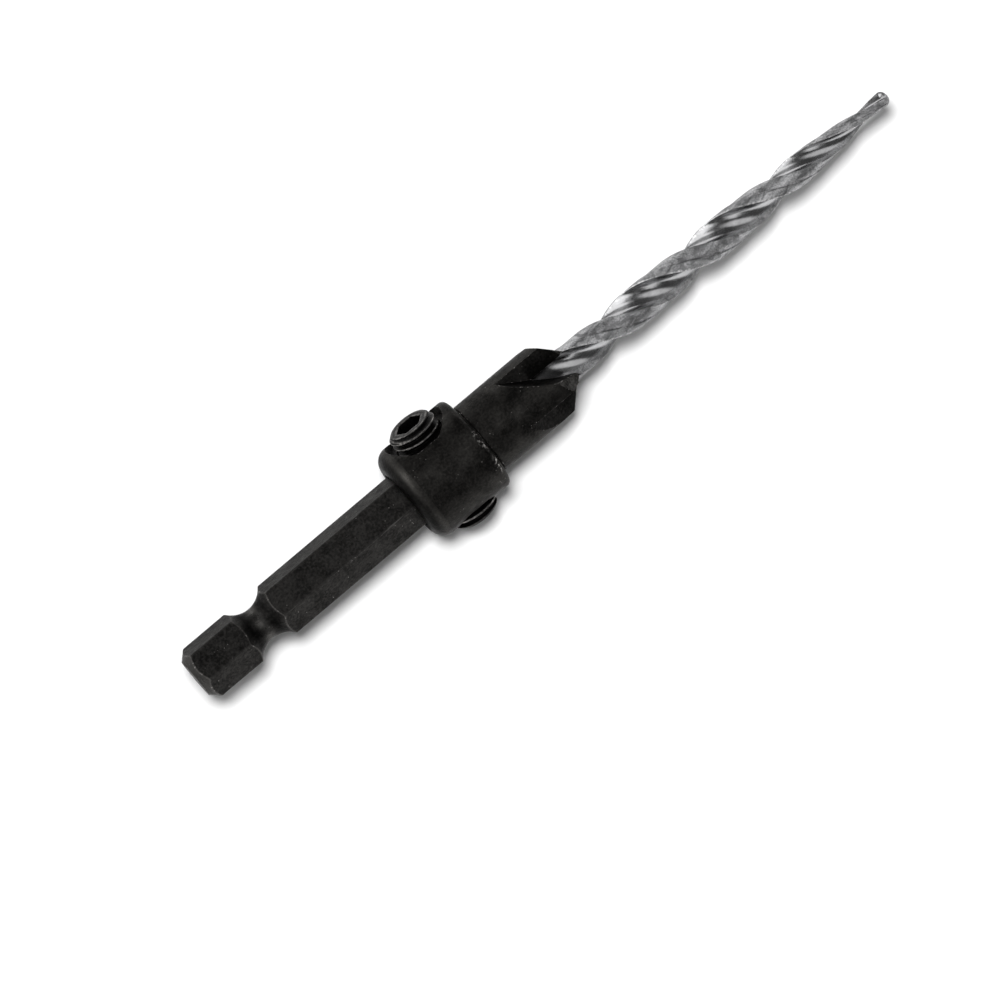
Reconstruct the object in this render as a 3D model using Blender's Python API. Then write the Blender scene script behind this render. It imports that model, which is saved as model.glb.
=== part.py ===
"""Adjustable four-tooth counterbore bit with a hexagonal quick-change shank.

Five pieces: the hex shank, the collar and cutter turned from one bar, the tapered twist drill that runs
through both, and two opposed cup-point set screws that lock the cutter on the drill.

The tool lies on its collar. +X runs from the shank's rear face to the drill's point, +Z is up, and the
origin is under the middle of the tool's length, on the surface that it lies on. A station is a distance
along the tool from the shank's rear face, and an angle round the tool runs from +Z towards +Y.
"""
from math import asin, atan2, ceil, cos, pi, radians, sin, sqrt, tan

import bmesh
import bpy
from mathutils import Matrix, Vector

MM = 0.001

# Fits
FIT_CLEARANCE = 0.05 * MM
RECESS_MARGIN = 0.25 * MM

# Whole tool
TOOL_LENGTH = 107.0 * MM

# Hex shank
HEX_ACROSS_FLATS = 6.35 * MM
HEX_CORNER_BREAK = 0.07 * MM
HEX_FLAT_ANGLE = radians(10.5)
SHANK_LENGTH = 32.91 * MM
SHANK_REAR_CHAMFER = 0.70 * MM
SHANK_FRONT_CHAMFER = 0.30 * MM
SHANK_BORE_DEPTH = 12.0 * MM
SHANK_BORE_POINT_HALF_ANGLE = radians(59.0)
GROOVE_STATION = 10.0 * MM
GROOVE_DEPTH = 0.95 * MM
GROOVE_ARC_RADIUS = 3.10 * MM

# Collar
COLLAR_DIAMETER = 12.7 * MM
COLLAR_LENGTH = 11.0 * MM
COLLAR_REAR_ROUNDING = 1.90 * MM
COLLAR_FRONT_ROUNDING = 0.80 * MM
RECESS_DEPTH = 0.50 * MM
BORE_CHAMFER = 0.25 * MM

# Cutter
CUTTER_DIAMETER = 9.525 * MM
CUTTER_CYLINDER_LENGTH = 12.15 * MM
CUTTER_CONE_HALF_ANGLE = radians(45.0)
TOOTH_COUNT = 4
TOOTH_EDGE_ANGLE = radians(51.8)
TOOTH_FACE_TILT = radians(16.0)
TOOTH_RELIEF_ANGLE = radians(16.5)
NOTCH_LENGTH = 6.65 * MM
NOTCH_ANGLE = radians(92.0)
NOTCH_FLOOR_SLOPE = radians(30.5)

# Set screws
SCREW_DIAMETER = 6.35 * MM
SCREW_LENGTH = 4.7625 * MM
SCREW_FROM_COLLAR_REAR = 5.75 * MM
SCREW_ANGLE = radians(67.5)
SCREW_TOP_CHAMFER = 0.60 * MM
SCREW_POINT_CHAMFER = 0.90 * MM
SCREW_CUP_DIAMETER = 3.20 * MM
SCREW_CUP_DEPTH = 0.45 * MM
SOCKET_ACROSS_FLATS = 3.175 * MM
SOCKET_FLAT_ANGLE = radians(0.0)
SOCKET_DEPTH = 2.40 * MM
SOCKET_CONE_DEPTH = 0.50 * MM
SPOTFACE_MARGIN = 0.925 * MM
SPOTFACE_DEPTH = 1.27 * MM

# Twist drill
DRILL_SHANK_DIAMETER = 4.7625 * MM
DRILL_END_CHAMFER = 0.40 * MM
DRILL_BODY_UNDERSIZE = 0.16 * MM
DRILL_LEAD = 26.0 * MM
DRILL_FLUTE_PHASE = radians(90.0)
DRILL_PHASE_FROM_POINT = 43.1 * MM
DRILL_FLUTED_LENGTH = 55.5 * MM
DRILL_RUNOUT_LENGTH = 6.0 * MM
DRILL_TAPER_LENGTH = 34.6 * MM
DRILL_TAPER_POWER = 3.0
DRILL_PILOT_DIAMETER = 1.95 * MM
DRILL_PILOT_LENGTH = 2.5 * MM
DRILL_POINT_LENGTH = 0.80 * MM
DRILL_POINT_FLUTE_SHARE = 0.45

# The drill's cross-section, in angles and in shares of its radius
FLUTE_HALF_ANGLE = radians(49.0)
WEB_SHARE = 0.24
MARGIN_ANGLE = radians(30.0)
MARGIN_STEP_ANGLE = radians(7.0)
LAND_CLEARANCE_SHARE = 0.060

# Fineness of the faceted solids
TURNED_SEGMENTS = 48
SCREW_SEGMENTS = 48
ROUNDING_STEPS = 5
GROOVE_STEPS = 12
FLUTE_STEPS = 10
LAND_STEPS = 3
TWIST_STEP = radians(10.0)
POINT_RINGS = 5
SHARP_EDGE_ANGLE = radians(28.0)
WELD_DISTANCE = 1e-7
ROUNDING_LIMIT = 0.9
RELIEF_OVERRUN = 0.2

# Worked out from the sizes above
HEX_CORNER_RADIUS = HEX_ACROSS_FLATS / sqrt(3.0) - HEX_CORNER_BREAK
BORE_RADIUS = DRILL_SHANK_DIAMETER / 2.0 + FIT_CLEARANCE
COLLAR_RADIUS = COLLAR_DIAMETER / 2.0
CUTTER_RADIUS = CUTTER_DIAMETER / 2.0
RECESS_RADIUS = HEX_CORNER_RADIUS + RECESS_MARGIN
RECESS_FLOOR_STATION = SHANK_LENGTH + FIT_CLEARANCE
COLLAR_REAR_STATION = RECESS_FLOOR_STATION - RECESS_DEPTH
COLLAR_FRONT_STATION = COLLAR_REAR_STATION + COLLAR_LENGTH
CONE_CORNER_STATION = COLLAR_FRONT_STATION + CUTTER_CYLINDER_LENGTH
SCREW_STATION = COLLAR_REAR_STATION + SCREW_FROM_COLLAR_REAR
SCREW_POINT_HEIGHT = DRILL_SHANK_DIAMETER / 2.0 + FIT_CLEARANCE
AXIS_HEIGHT = COLLAR_RADIUS * cos(pi / TURNED_SEGMENTS)

ALONG = Vector((1.0, 0.0, 0.0))


def outward(angle):
    """Unit vector straight out from the tool's axis at an angle round it."""
    return Vector((0.0, sin(angle), cos(angle)))


def onward(angle):
    """Unit vector round the tool's axis, the way the angle grows."""
    return Vector((0.0, cos(angle), -sin(angle)))


def arc(centre, radius, start, end, steps):
    """Points (station, distance from the axis) on an arc, both ends included."""
    points = []
    for step in range(steps + 1):
        angle = start + (end - start) * step / steps
        points.append((centre[0] + radius * cos(angle), centre[1] + radius * sin(angle)))
    return points


def steel(name, colour, roughness):
    """A metal finish."""
    material = bpy.data.materials.new(name)
    material.use_nodes = True
    shader = material.node_tree.nodes["Principled BSDF"]
    shader.inputs["Base Color"].default_value = (*colour, 1.0)
    shader.inputs["Roughness"].default_value = roughness
    shader.inputs["Metallic"].default_value = 1.0
    material.diffuse_color = (*colour, 1.0)
    material.roughness = roughness
    material.metallic = 1.0
    return material


def mesh_from(name, solid):
    """Turn a bmesh into a mesh with its faces pointing out, smooth where it is round."""
    bmesh.ops.recalc_face_normals(solid, faces=solid.faces)
    mesh = bpy.data.meshes.new(name)
    solid.to_mesh(mesh)
    solid.free()
    mesh.shade_smooth()
    mesh.set_sharp_from_angle(angle=SHARP_EDGE_ANGLE)
    return mesh


def place(name, mesh, parent=None, material=None):
    """Add an object to the scene."""
    piece = bpy.data.objects.new(name, mesh)
    bpy.context.scene.collection.objects.link(piece)
    piece.parent = parent
    if material is not None:
        mesh.materials.append(material)
    return piece


def turned(name, profile, segments, closed=False):
    """Revolve a profile of (station, radius) points round the X axis, with one facet facing down."""
    solid = bmesh.new()
    start = outward(pi / segments)
    verts = [solid.verts.new(ALONG * station + start * radius) for station, radius in profile]
    edges = [solid.edges.new(pair) for pair in zip(verts, verts[1:])]
    if closed:
        edges.append(solid.edges.new((verts[-1], verts[0])))
    bmesh.ops.spin(solid, geom=verts + edges, cent=(0.0, 0.0, 0.0), axis=ALONG,
                   angle=2.0 * pi, steps=segments, use_merge=True)
    bmesh.ops.remove_doubles(solid, verts=solid.verts, dist=WELD_DISTANCE)
    return mesh_from(name, solid)


def block(name, corner, axes, lows, highs):
    """A six-sided block set out from a corner point along three directions."""
    solid = bmesh.new()
    sizes = [high - low for low, high in zip(lows, highs)]
    middle = corner.copy()
    for axis, low, high in zip(axes, lows, highs):
        middle += axis * (low + high) / 2.0
    frame = Matrix([axis * size for axis, size in zip(axes, sizes)]).transposed().to_4x4()
    frame.translation = middle
    bmesh.ops.create_cube(solid, size=1.0, matrix=frame)
    return mesh_from(name, solid)


def round_bar(name, station, direction, radius, near, far, segments):
    """A cylinder across the tool, from one distance off its axis to another."""
    solid = bmesh.new()
    frame = Matrix((ALONG, direction.cross(ALONG), direction)).transposed().to_4x4()
    frame.translation = ALONG * station + direction * (near + far) / 2.0
    bmesh.ops.create_cone(solid, cap_ends=True, segments=segments, radius1=radius, radius2=radius,
                          depth=far - near, matrix=frame)
    return mesh_from(name, solid)


def carve(piece, cutter_mesh, operation="DIFFERENCE"):
    """Apply one exact Boolean to a piece, then drop the cutter."""
    cutter = place("cutter", cutter_mesh, piece.parent)
    cutter.matrix_parent_inverse = piece.matrix_parent_inverse
    cutter.hide_render = True
    cutter.display_type = "WIRE"
    step = piece.modifiers.new("carve", "BOOLEAN")
    step.operation = operation
    step.solver = "EXACT"
    step.object = cutter
    bpy.context.view_layer.update()
    whole = piece.evaluated_get(bpy.context.evaluated_depsgraph_get())
    result = bpy.data.meshes.new_from_object(whole)
    piece.modifiers.clear()
    old = piece.data
    piece.data = result
    bpy.data.objects.remove(cutter)
    bpy.data.meshes.remove(cutter_mesh)
    bpy.data.meshes.remove(old)
    result.name = piece.name


def tidy(piece):
    """Weld what the Booleans left doubled, and mark the sharp edges."""
    solid = bmesh.new()
    solid.from_mesh(piece.data)
    bmesh.ops.remove_doubles(solid, verts=solid.verts, dist=WELD_DISTANCE)
    bmesh.ops.dissolve_degenerate(solid, edges=solid.edges, dist=WELD_DISTANCE)
    solid.to_mesh(piece.data)
    solid.free()
    piece.data.shade_smooth()
    piece.data.set_sharp_from_angle(angle=SHARP_EDGE_ANGLE)


def hexagon_bar(name, across_flats, flat_angle, start, end):
    """A hexagonal prism round the tool's axis, with a flat that faces the given angle."""
    solid = bmesh.new()
    corners = []
    for side in range(6):
        direction = outward(flat_angle + pi / 6.0 + side * pi / 3.0)
        corners.append(solid.verts.new(ALONG * start + direction * across_flats / sqrt(3.0)))
    face = solid.faces.new(corners)
    grown = bmesh.ops.extrude_face_region(solid, geom=[face])
    moved = [item for item in grown["geom"] if isinstance(item, bmesh.types.BMVert)]
    bmesh.ops.translate(solid, verts=moved, vec=ALONG * (end - start))
    return mesh_from(name, solid)


def make_hex_shank(parent, material):
    """Bar turned with its chamfers, groove and bore, then brought to a hexagon."""
    flat_radius = HEX_ACROSS_FLATS / 2.0
    end_radius = flat_radius - SHANK_REAR_CHAMFER
    arc_height = flat_radius - GROOVE_DEPTH + GROOVE_ARC_RADIUS
    arc_reach = atan2(sqrt(GROOVE_ARC_RADIUS ** 2 - (arc_height - HEX_CORNER_RADIUS) ** 2),
                      arc_height - HEX_CORNER_RADIUS)
    groove = arc((GROOVE_STATION, arc_height), GROOVE_ARC_RADIUS,
                 -pi / 2.0 - arc_reach, -pi / 2.0 + arc_reach, GROOVE_STEPS)
    bore_floor = SHANK_LENGTH - SHANK_BORE_DEPTH
    drill_point = BORE_RADIUS / tan(SHANK_BORE_POINT_HALF_ANGLE)
    profile = [(0.0, 0.0), (0.0, end_radius), (HEX_CORNER_RADIUS - end_radius, HEX_CORNER_RADIUS)]
    profile += groove
    profile += [
        (SHANK_LENGTH - SHANK_FRONT_CHAMFER, HEX_CORNER_RADIUS),
        (SHANK_LENGTH, HEX_CORNER_RADIUS - SHANK_FRONT_CHAMFER),
        (SHANK_LENGTH, BORE_RADIUS),
        (bore_floor, BORE_RADIUS),
        (bore_floor - drill_point, 0.0),
    ]
    shank = place("hex_shank", turned("hex_shank", profile, TURNED_SEGMENTS), parent)
    spare = HEX_ACROSS_FLATS
    carve(shank, hexagon_bar("hexagon", HEX_ACROSS_FLATS, HEX_FLAT_ANGLE, -spare, SHANK_LENGTH + spare),
          "INTERSECT")
    tidy(shank)
    shank.data.materials.clear()
    shank.data.materials.append(material)
    return shank


def cutter_profile():
    """Closed outline of the collar, the cutter's cylinder and cone, and the through bore."""
    rear_rounding = min(COLLAR_REAR_ROUNDING, ROUNDING_LIMIT * (COLLAR_RADIUS - RECESS_RADIUS))
    front_rounding = min(COLLAR_FRONT_ROUNDING, ROUNDING_LIMIT * (COLLAR_RADIUS - CUTTER_RADIUS))
    cone_length = (CUTTER_RADIUS - BORE_RADIUS) / tan(CUTTER_CONE_HALF_ANGLE)
    outline = arc((COLLAR_REAR_STATION + rear_rounding, COLLAR_RADIUS - rear_rounding), rear_rounding,
                  pi, pi / 2.0, ROUNDING_STEPS)
    outline += arc((COLLAR_FRONT_STATION - front_rounding, COLLAR_RADIUS - front_rounding),
                   front_rounding, pi / 2.0, 0.0, ROUNDING_STEPS)
    outline += [
        (COLLAR_FRONT_STATION, CUTTER_RADIUS),
        (CONE_CORNER_STATION, CUTTER_RADIUS),
        (CONE_CORNER_STATION + cone_length, BORE_RADIUS),
        (RECESS_FLOOR_STATION + BORE_CHAMFER, BORE_RADIUS),
        (RECESS_FLOOR_STATION, BORE_RADIUS + BORE_CHAMFER),
        (RECESS_FLOOR_STATION, RECESS_RADIUS),
        (COLLAR_REAR_STATION, RECESS_RADIUS),
    ]
    return outline


def notch(angle):
    """V notch in front of one tooth: its face runs along the tool, its floor slopes inwards."""
    face_out = outward(angle + TOOTH_FACE_TILT)
    floor_out = outward(angle + TOOTH_FACE_TILT - NOTCH_ANGLE)
    start = ALONG * (CONE_CORNER_STATION - NOTCH_LENGTH) + outward(angle) * CUTTER_RADIUS
    valley = ALONG * cos(NOTCH_FLOOR_SLOPE) - face_out * sin(NOTCH_FLOOR_SLOPE)
    reach = (NOTCH_LENGTH + CUTTER_DIAMETER) / cos(NOTCH_FLOOR_SLOPE)
    return block("notch", start, (valley, face_out, floor_out),
                 (-CUTTER_RADIUS, 0.0, 0.0), (reach, CUTTER_DIAMETER, CUTTER_DIAMETER))


def relief(angle):
    """Flat ground behind one tooth's cutting edge, falling away from the cone."""
    face_angle = angle + TOOTH_FACE_TILT
    offset = CUTTER_RADIUS * sin(TOOTH_FACE_TILT)
    inner_angle = face_angle - asin(min(1.0, offset / BORE_RADIUS))
    cone_length = (CUTTER_RADIUS - BORE_RADIUS) / tan(CUTTER_CONE_HALF_ANGLE)
    corner = ALONG * CONE_CORNER_STATION + outward(angle) * CUTTER_RADIUS
    inner = ALONG * (CONE_CORNER_STATION + cone_length) + outward(inner_angle) * BORE_RADIUS
    edge = (inner - corner).normalized()
    back = onward(face_angle)
    square = edge.cross(back)
    normal = square * cos(TOOTH_RELIEF_ANGLE) + back * sin(TOOTH_RELIEF_ANGLE)
    behind = back * cos(TOOTH_RELIEF_ANGLE) - square * sin(TOOTH_RELIEF_ANGLE)
    spare = RELIEF_OVERRUN * BORE_RADIUS
    return block("relief", corner, (edge, normal, behind), (-CUTTER_RADIUS, 0.0, -spare),
                 ((inner - corner).length + spare, CUTTER_RADIUS, CUTTER_RADIUS))


def make_cutter_body(parent, material):
    """Collar and cutter from one bar: turned, cross-drilled, spot-faced, notched and ground."""
    profile = cutter_profile()
    body = place("cutter_body", turned("cutter_body", profile, TURNED_SEGMENTS, closed=True), parent)
    screw_out = outward(SCREW_ANGLE)
    hole_radius = SCREW_DIAMETER / 2.0 + FIT_CLEARANCE
    seat_radius = SCREW_DIAMETER / 2.0 + SPOTFACE_MARGIN
    seat_height = COLLAR_RADIUS - SPOTFACE_DEPTH
    for direction in (screw_out, -screw_out):
        carve(body, round_bar("spotface", SCREW_STATION, direction, seat_radius, seat_height,
                              COLLAR_DIAMETER, SCREW_SEGMENTS))
    carve(body, round_bar("cross_hole", SCREW_STATION, screw_out, hole_radius, -COLLAR_DIAMETER,
                          COLLAR_DIAMETER, SCREW_SEGMENTS))
    for tooth in range(TOOTH_COUNT):
        angle = TOOTH_EDGE_ANGLE + tooth * 2.0 * pi / TOOTH_COUNT
        carve(body, notch(angle))
        carve(body, relief(angle))
    tidy(body)
    body.data.materials.clear()
    body.data.materials.append(material)
    return body


def screw_mesh():
    """Cup-point set screw along X, its point at the origin, with a hexagon socket in its top."""
    radius = SCREW_DIAMETER / 2.0
    cup_radius = SCREW_CUP_DIAMETER / 2.0
    profile = [
        (SCREW_CUP_DEPTH, 0.0),
        (0.0, cup_radius),
        (SCREW_POINT_CHAMFER, radius),
        (SCREW_LENGTH - SCREW_TOP_CHAMFER, radius),
        (SCREW_LENGTH, radius - SCREW_TOP_CHAMFER),
        (SCREW_LENGTH, 0.0),
    ]
    return turned("set_screw", profile, SCREW_SEGMENTS)


def socket_mesh():
    """Hexagon socket with the shallow cone that its drilled pilot leaves."""
    floor = SCREW_LENGTH - SOCKET_DEPTH
    cone = turned("pilot", [(floor - SOCKET_CONE_DEPTH, 0.0), (floor, SOCKET_ACROSS_FLATS / 2.0),
                            (floor + SOCKET_CONE_DEPTH, SOCKET_ACROSS_FLATS / 2.0),
                            (floor + SOCKET_CONE_DEPTH, 0.0)], SCREW_SEGMENTS)
    hexagon = hexagon_bar("socket", SOCKET_ACROSS_FLATS, SOCKET_FLAT_ANGLE, floor,
                          SCREW_LENGTH + SOCKET_DEPTH)
    return cone, hexagon


def make_set_screws(parent, material):
    """Two opposed screws in the collar, each bearing on the drill's shank."""
    screws = []
    for name, angle in (("set_screw_upper", SCREW_ANGLE), ("set_screw_lower", SCREW_ANGLE + pi)):
        screw = place(name, screw_mesh())
        for tool in socket_mesh():
            carve(screw, tool)
        tidy(screw)
        screw.data.materials.clear()
        screw.data.materials.append(material)
        out = outward(angle)
        frame = Matrix((out, ALONG, out.cross(ALONG))).transposed().to_4x4()
        frame.translation = ALONG * SCREW_STATION + out * SCREW_POINT_HEIGHT
        screw.parent = parent
        screw.matrix_basis = frame
        screws.append(screw)
    return screws


def half_section():
    """Half of the drill's section as (x, y) shares of its radius, with a matching arc of a circle.

    It runs from the heel of one land through a flute, which is centred on +X, and over the next land
    from its cutting edge to just before its heel.
    """
    reach = (1.0 - WEB_SHARE ** 2) / (2.0 * (cos(FLUTE_HALF_ANGLE) - WEB_SHARE))
    bend = reach - WEB_SHARE
    cleared = 1.0 - LAND_CLEARANCE_SHARE
    heel_angle = -atan2(sqrt(4.0 * (cleared * reach) ** 2 - (cleared ** 2 + reach ** 2 - bend ** 2) ** 2),
                        cleared ** 2 + reach ** 2 - bend ** 2)
    ends = []
    for radius, angle in ((cleared, heel_angle), (1.0, FLUTE_HALF_ANGLE)):
        ends.append(atan2(radius * sin(angle), reach - radius * cos(angle)))
    fluted, plain = [], []
    for step in range(FLUTE_STEPS + 1):
        share = step / FLUTE_STEPS
        swing = ends[0] + (ends[1] - ends[0]) * share
        fluted.append((reach - bend * cos(swing), bend * sin(swing)))
        around = heel_angle + (FLUTE_HALF_ANGLE - heel_angle) * share
        plain.append((cos(around), sin(around)))
    margin_end = FLUTE_HALF_ANGLE + MARGIN_ANGLE
    step_end = margin_end + MARGIN_STEP_ANGLE
    land = [(FLUTE_HALF_ANGLE + MARGIN_ANGLE * step / LAND_STEPS, 1.0) for step in range(1, LAND_STEPS + 1)]
    heel = pi + heel_angle
    for step in range(LAND_STEPS + 1):
        land.append((step_end + (heel - step_end) * step / (LAND_STEPS + 1), cleared))
    for around, radius in land:
        fluted.append((radius * cos(around), radius * sin(around)))
        plain.append((cos(around), sin(around)))
    return fluted, plain


def drill_radius(station):
    """Outer radius of the drill's body: parallel, then a bulged taper, a thin pilot and a round point."""
    body = (DRILL_SHANK_DIAMETER - DRILL_BODY_UNDERSIZE) / 2.0
    pilot = DRILL_PILOT_DIAMETER / 2.0
    point_start = TOOL_LENGTH - DRILL_POINT_LENGTH
    taper_end = point_start - DRILL_PILOT_LENGTH
    if station > point_start:
        return pilot * sqrt(max(0.0, 1.0 - ((station - point_start) / DRILL_POINT_LENGTH) ** 2))
    share = (station - taper_end + DRILL_TAPER_LENGTH) / DRILL_TAPER_LENGTH
    share = min(1.0, max(0.0, share))
    return pilot + (body - pilot) * (1.0 - share ** DRILL_TAPER_POWER)


def drill_ring(station, radius, depth, angle):
    """One ring of points: depth 0 is a plain circle and depth 1 the full fluted section."""
    fluted, plain = half_section()
    points = []
    for turn in (0.0, pi):
        for (cut_x, cut_y), (full_x, full_y) in zip(fluted, plain):
            x = full_x + (cut_x - full_x) * depth
            y = full_y + (cut_y - full_y) * depth
            around = angle + turn
            out = outward(around) * x + onward(around) * y
            points.append(ALONG * station + out * radius)
    return points


def make_drill_bit(parent, material):
    """Twist drill lofted ring by ring, with a plain round shank behind its flutes."""
    shank_radius = DRILL_SHANK_DIAMETER / 2.0
    rear = SHANK_LENGTH - SHANK_BORE_DEPTH + FIT_CLEARANCE
    flute_start = TOOL_LENGTH - DRILL_FLUTED_LENGTH
    phase_station = TOOL_LENGTH - DRILL_PHASE_FROM_POINT
    point_start = TOOL_LENGTH - DRILL_POINT_LENGTH

    def twist(station):
        return DRILL_FLUTE_PHASE - 2.0 * pi * (station - phase_station) / DRILL_LEAD

    rings = [
        drill_ring(rear, shank_radius - DRILL_END_CHAMFER, 0.0, twist(flute_start)),
        drill_ring(rear + DRILL_END_CHAMFER, shank_radius, 0.0, twist(flute_start)),
        drill_ring(flute_start, shank_radius, 0.0, twist(flute_start)),
    ]
    count = ceil(2.0 * pi * (point_start - flute_start) / DRILL_LEAD / TWIST_STEP)
    for step in range(1, count + 1):
        station = flute_start + (point_start - flute_start) * step / count
        share = min(1.0, (station - flute_start) / DRILL_RUNOUT_LENGTH)
        depth = sqrt(share * (2.0 - share))
        body = drill_radius(station)
        radius = shank_radius + (body - shank_radius) * depth if share < 1.0 else body
        rings.append(drill_ring(station, radius, depth, twist(station)))
    for step in range(1, POINT_RINGS):
        share = sin(pi / 2.0 * step / POINT_RINGS)
        station = point_start + DRILL_POINT_LENGTH * share
        depth = 1.0 + (DRILL_POINT_FLUTE_SHARE - 1.0) * share
        rings.append(drill_ring(station, drill_radius(station), depth, twist(station)))

    solid = bmesh.new()
    loops = []
    for ring in rings:
        loops.append([solid.verts.new(point) for point in ring])
    size = len(loops[0])
    for near, far in zip(loops, loops[1:]):
        for index in range(size):
            after = (index + 1) % size
            solid.faces.new((near[index], near[after], far[after], far[index]))
    solid.faces.new(loops[0])
    tip = solid.verts.new(ALONG * TOOL_LENGTH)
    for index in range(size):
        solid.faces.new((loops[-1][index], loops[-1][(index + 1) % size], tip))
    bmesh.ops.triangulate(solid, faces=[face for face in solid.faces if len(face.verts) == 4])
    return place("drill_bit", mesh_from("drill_bit", solid), parent, material)


def build():
    """Clear the scene and model the tool."""
    for old in list(bpy.data.objects):
        bpy.data.objects.remove(old, do_unlink=True)
    axis = bpy.data.objects.new("tool_axis", None)
    bpy.context.scene.collection.objects.link(axis)
    axis.location = (-TOOL_LENGTH / 2.0, 0.0, AXIS_HEIGHT)
    make_hex_shank(axis, steel("black_oxide_shank", (0.020, 0.019, 0.018), 0.42))
    make_cutter_body(axis, steel("black_oxide_cutter", (0.018, 0.017, 0.016), 0.45))
    make_drill_bit(axis, steel("bright_drill_steel", (0.52, 0.52, 0.53), 0.28))
    make_set_screws(axis, steel("black_oxide_screw", (0.015, 0.014, 0.014), 0.35))


build()
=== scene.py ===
"""Looks of the countersink bit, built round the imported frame.

Each CAD piece is rebuilt as a fine mesh in the same place: the shank with softly drawn edges, the cutter
with small bevels and worn edges, the drill with its full helix, and the set screws with cut threads.

A station is a distance along the tool from the shank's rear face. An angle round the tool runs from +Z
towards +Y. Both are as in the CAD model.
"""
from math import asin, atan2, cos, pi, radians, sin, sqrt, tan

import bmesh
import bpy
import numpy as np
from mathutils import Matrix, Vector


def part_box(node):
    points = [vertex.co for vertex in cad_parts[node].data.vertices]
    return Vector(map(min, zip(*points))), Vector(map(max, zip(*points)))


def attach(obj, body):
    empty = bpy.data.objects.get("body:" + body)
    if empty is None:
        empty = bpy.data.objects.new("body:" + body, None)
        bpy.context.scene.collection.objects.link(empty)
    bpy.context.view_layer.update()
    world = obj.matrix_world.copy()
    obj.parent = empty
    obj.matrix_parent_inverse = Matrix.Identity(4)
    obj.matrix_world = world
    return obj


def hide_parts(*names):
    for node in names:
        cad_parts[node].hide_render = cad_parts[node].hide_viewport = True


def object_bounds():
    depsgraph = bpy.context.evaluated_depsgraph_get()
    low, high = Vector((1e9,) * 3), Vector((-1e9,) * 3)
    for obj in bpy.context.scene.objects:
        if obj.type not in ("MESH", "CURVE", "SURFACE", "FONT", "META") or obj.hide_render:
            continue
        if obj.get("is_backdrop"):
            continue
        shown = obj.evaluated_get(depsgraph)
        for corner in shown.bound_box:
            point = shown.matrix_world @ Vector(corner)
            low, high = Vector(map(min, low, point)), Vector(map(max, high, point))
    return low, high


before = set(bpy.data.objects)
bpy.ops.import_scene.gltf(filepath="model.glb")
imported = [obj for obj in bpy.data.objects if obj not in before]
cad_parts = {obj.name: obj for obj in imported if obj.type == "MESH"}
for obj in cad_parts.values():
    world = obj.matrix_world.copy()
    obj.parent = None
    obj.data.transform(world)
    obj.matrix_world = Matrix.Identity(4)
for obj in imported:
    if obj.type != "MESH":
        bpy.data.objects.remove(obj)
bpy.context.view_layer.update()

MM = 0.001
ALONG = Vector((1.0, 0.0, 0.0))

# Places read from the frame
SHANK_LOW, SHANK_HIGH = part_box("hex_shank")
CUTTER_LOW, CUTTER_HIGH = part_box("cutter_body")
DRILL_LOW, DRILL_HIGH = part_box("drill_bit")
REAR_X = SHANK_LOW.x
AXIS_Z = (CUTTER_LOW.z + CUTTER_HIGH.z) / 2.0
TOOL_LENGTH = DRILL_HIGH.x - REAR_X
SHANK_LENGTH = SHANK_HIGH.x - REAR_X
COLLAR_REAR_STATION = CUTTER_LOW.x - REAR_X
DRILL_REAR_STATION = DRILL_LOW.x - REAR_X

# Fits
FIT_CLEARANCE = 0.05 * MM
RECESS_MARGIN = 0.25 * MM

# Hex shank
HEX_ACROSS_FLATS = 6.35 * MM
HEX_CORNER_BREAK = 0.07 * MM
HEX_FLAT_ANGLE = radians(10.5)
HEX_SECTOR = radians(60.0)
HEX_EDGE_BLEND = 0.13 * MM
SHANK_REAR_CHAMFER = 0.70 * MM
SHANK_FRONT_CHAMFER = 0.30 * MM
SHANK_BORE_DEPTH = 12.0 * MM
SHANK_BORE_POINT_HALF_ANGLE = radians(59.0)
SHANK_CUT_BLEND = 0.05 * MM
SHANK_RIM_ROUNDING = 0.07 * MM
GROOVE_STATION = 10.0 * MM
GROOVE_DEPTH = 0.95 * MM
GROOVE_ARC_RADIUS = 3.10 * MM

# Collar
COLLAR_DIAMETER = 12.7 * MM
COLLAR_LENGTH = 11.0 * MM
COLLAR_REAR_ROUNDING = 1.90 * MM
COLLAR_FRONT_ROUNDING = 0.80 * MM
RECESS_DEPTH = 0.50 * MM
BORE_CHAMFER = 0.25 * MM
UNDERCUT_WIDTH = 0.22 * MM
UNDERCUT_DEPTH = 0.14 * MM

# Cutter
CUTTER_DIAMETER = 9.525 * MM
CUTTER_CYLINDER_LENGTH = 12.15 * MM
CUTTER_CONE_HALF_ANGLE = radians(45.0)
TOOTH_COUNT = 4
TOOTH_EDGE_ANGLE = radians(51.8)
TOOTH_FACE_TILT = radians(16.0)
TOOTH_RELIEF_ANGLE = radians(16.5)
NOTCH_LENGTH = 6.65 * MM
NOTCH_ANGLE = radians(92.0)
NOTCH_FLOOR_SLOPE = radians(30.5)
NOTCH_HOLLOW = 0.30 * MM
RELIEF_OVERRUN = 0.2
EDGE_BEVEL = 0.035 * MM
EDGE_BEVEL_ANGLE = radians(32.0)

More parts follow.
